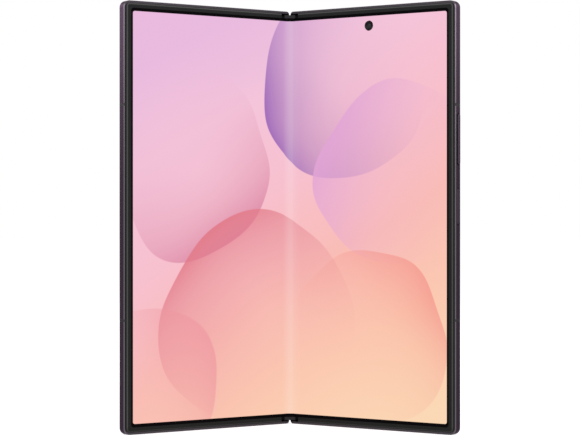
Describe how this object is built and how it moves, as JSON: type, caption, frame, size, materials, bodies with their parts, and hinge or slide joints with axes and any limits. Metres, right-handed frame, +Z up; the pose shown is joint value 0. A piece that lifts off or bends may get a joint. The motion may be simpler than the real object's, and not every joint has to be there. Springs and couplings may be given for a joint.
{
  "type": "foldable smartphone",
  "caption": "Book-style foldable smartphone, half open, with a flexible inner display over two thin metal halves, a geared hinge, a cover display and a camera island.",
  "frame": {"origin": "centre of the bounding box on the plane that the two lower edges stand on", "axes": "+Z up along the fold axes, +Y from the viewer of the inner display towards the hinge spine, +X towards the half with the keys, which is on that viewer's right"},
  "size_m": [0.1244, 0.0414, 0.1584],
  "materials": {
    "frame_metal": "satin anodised, dark violet grey, with a brighter front chamfer",
    "spine_metal": "polished anodised, dark violet grey",
    "hinge_steel": "machined steel, oiled",
    "bezel_soft": "soft dark rim, slightly lighter outer lip",
    "flexible_display": "lit display behind a clear flexible film",
    "antenna_plastic": "dark inlay, flush with the metal",
    "battery_wrap": "black wrap",
    "cover_glass": "polished black glass over a dark display",
    "back_glass": "etched satin glass, dark violet grey",
    "camera_body": "black camera barrels",
    "lens_metal": "dark anodised rings",
    "lens_glass": "coated lens glass",
    "board": "circuit board, solder mask",
    "shield_metal": "stamped sheet",
    "coil_copper": "lacquered copper winding",
    "module_plastic": "moulded module housing",
    "motor_steel": "drawn steel can",
    "magnet_nickel": "nickel plated"
  },
  "bodies": {
    "hinge": {"spine_cover": "spine_metal", "hinge_end_caps": "bezel_soft", "hinge_brackets": "hinge_steel", "bracket_screws": "hinge_steel", "left_washers": "hinge_steel", "right_washers": "hinge_steel", "display_fold": "flexible_display"},
    "left_half": {"left_frame": "frame_metal", "left_bezel": "bezel_soft", "left_display": "flexible_display", "left_antenna_bands": "antenna_plastic", "left_rotators": "hinge_steel", "left_rotator_screws": "hinge_steel", "left_battery": "battery_wrap", "cover_display": "cover_glass", "cover_glass": "cover_glass", "cover_camera": "camera_body", "top_speaker": "module_plastic", "vibration_motor": "motor_steel", "card_reader": "board", "left_magnets": "magnet_nickel"},
    "right_half": {"right_frame": "frame_metal", "right_bezel": "bezel_soft", "right_display": "flexible_display", "right_antenna_bands": "antenna_plastic", "right_rotators": "hinge_steel", "right_rotator_screws": "hinge_steel", "right_battery": "battery_wrap", "charging_coil": "coil_copper", "main_board": "board", "shield_cans": "shield_metal", "inner_camera": "camera_body", "rear_cameras": "camera_body", "back_glass": "back_glass", "camera_island": "frame_metal", "lens_rings": "lens_metal", "lens_glasses": "lens_glass", "flash_window": "lens_glass", "sub_board": "board", "port_shell": "shield_metal", "port_tongue": "module_plastic", "bottom_speaker": "module_plastic", "key_switches": "module_plastic", "right_magnets": "magnet_nickel"},
    "left_arm": {"left_arms": "hinge_steel", "left_shafts": "hinge_steel"},
    "right_arm": {"right_arms": "hinge_steel", "right_shafts": "hinge_steel"},
    "left_idler": {"left_idlers": "hinge_steel"},
    "right_idler": {"right_idlers": "hinge_steel"},
    "volume_key": {"volume_key": "frame_metal"},
    "power_key": {"power_key": "frame_metal"},
    "card_tray": {"card_tray": "frame_metal"}
  },
  "joints": [
    {"name": "left_fold", "type": "hinge", "parent": "hinge", "child": "left_half", "pos_m": [-0.00133, 0.01741, 0.0792], "axis": [0, 0, 1], "range_deg": [-32.25, 57.75], "deforming": ["display_fold"]},
    {"name": "right_fold", "type": "hinge", "parent": "hinge", "child": "right_half", "pos_m": [0.00133, 0.01741, 0.0792], "axis": [0, 0, 1], "range_deg": [-57.75, 32.25]},
    {"name": "left_arm_turn", "type": "hinge", "parent": "hinge", "child": "left_arm", "pos_m": [-0.00215, 0.01823, 0.0792], "axis": [0, 0, 1], "range_deg": [-32.25, 57.75]},
    {"name": "right_arm_turn", "type": "hinge", "parent": "hinge", "child": "right_arm", "pos_m": [0.00215, 0.01823, 0.0792], "axis": [0, 0, 1], "range_deg": [-57.75, 32.25]},
    {"name": "left_idler_turn", "type": "hinge", "parent": "hinge", "child": "left_idler", "pos_m": [-0.00072, 0.01823, 0.0792], "axis": [0, 0, 1], "range_deg": [-57.75, 32.25]},
    {"name": "right_idler_turn", "type": "hinge", "parent": "hinge", "child": "right_idler", "pos_m": [0.00072, 0.01823, 0.0792], "axis": [0, 0, 1], "range_deg": [-32.25, 57.75]},
    {"name": "volume_press", "type": "slide", "parent": "right_half", "child": "volume_key", "axis": [-0.8457, 0.5336, 0], "range_m": [0, 0.00025], "stiffness_N_per_m": 400, "springref_m": -0.0005},
    {"name": "power_press", "type": "slide", "parent": "right_half", "child": "power_key", "axis": [-0.8457, 0.5336, 0], "range_m": [0, 0.00015], "stiffness_N_per_m": 400, "springref_m": -0.0005},
    {"name": "tray_slide", "type": "slide", "parent": "left_half", "child": "card_tray", "axis": [0, 0, -1], "range_m": [0, 0.019]}
  ],
  "couplings": [
    {"joint": "right_fold", "follows": "left_fold", "ratio": -1},
    {"joint": "left_arm_turn", "follows": "left_fold", "ratio": 1},
    {"joint": "right_arm_turn", "follows": "left_fold", "ratio": -1},
    {"joint": "left_idler_turn", "follows": "left_fold", "ratio": -1},
    {"joint": "right_idler_turn", "follows": "left_fold", "ratio": 1}
  ]
}
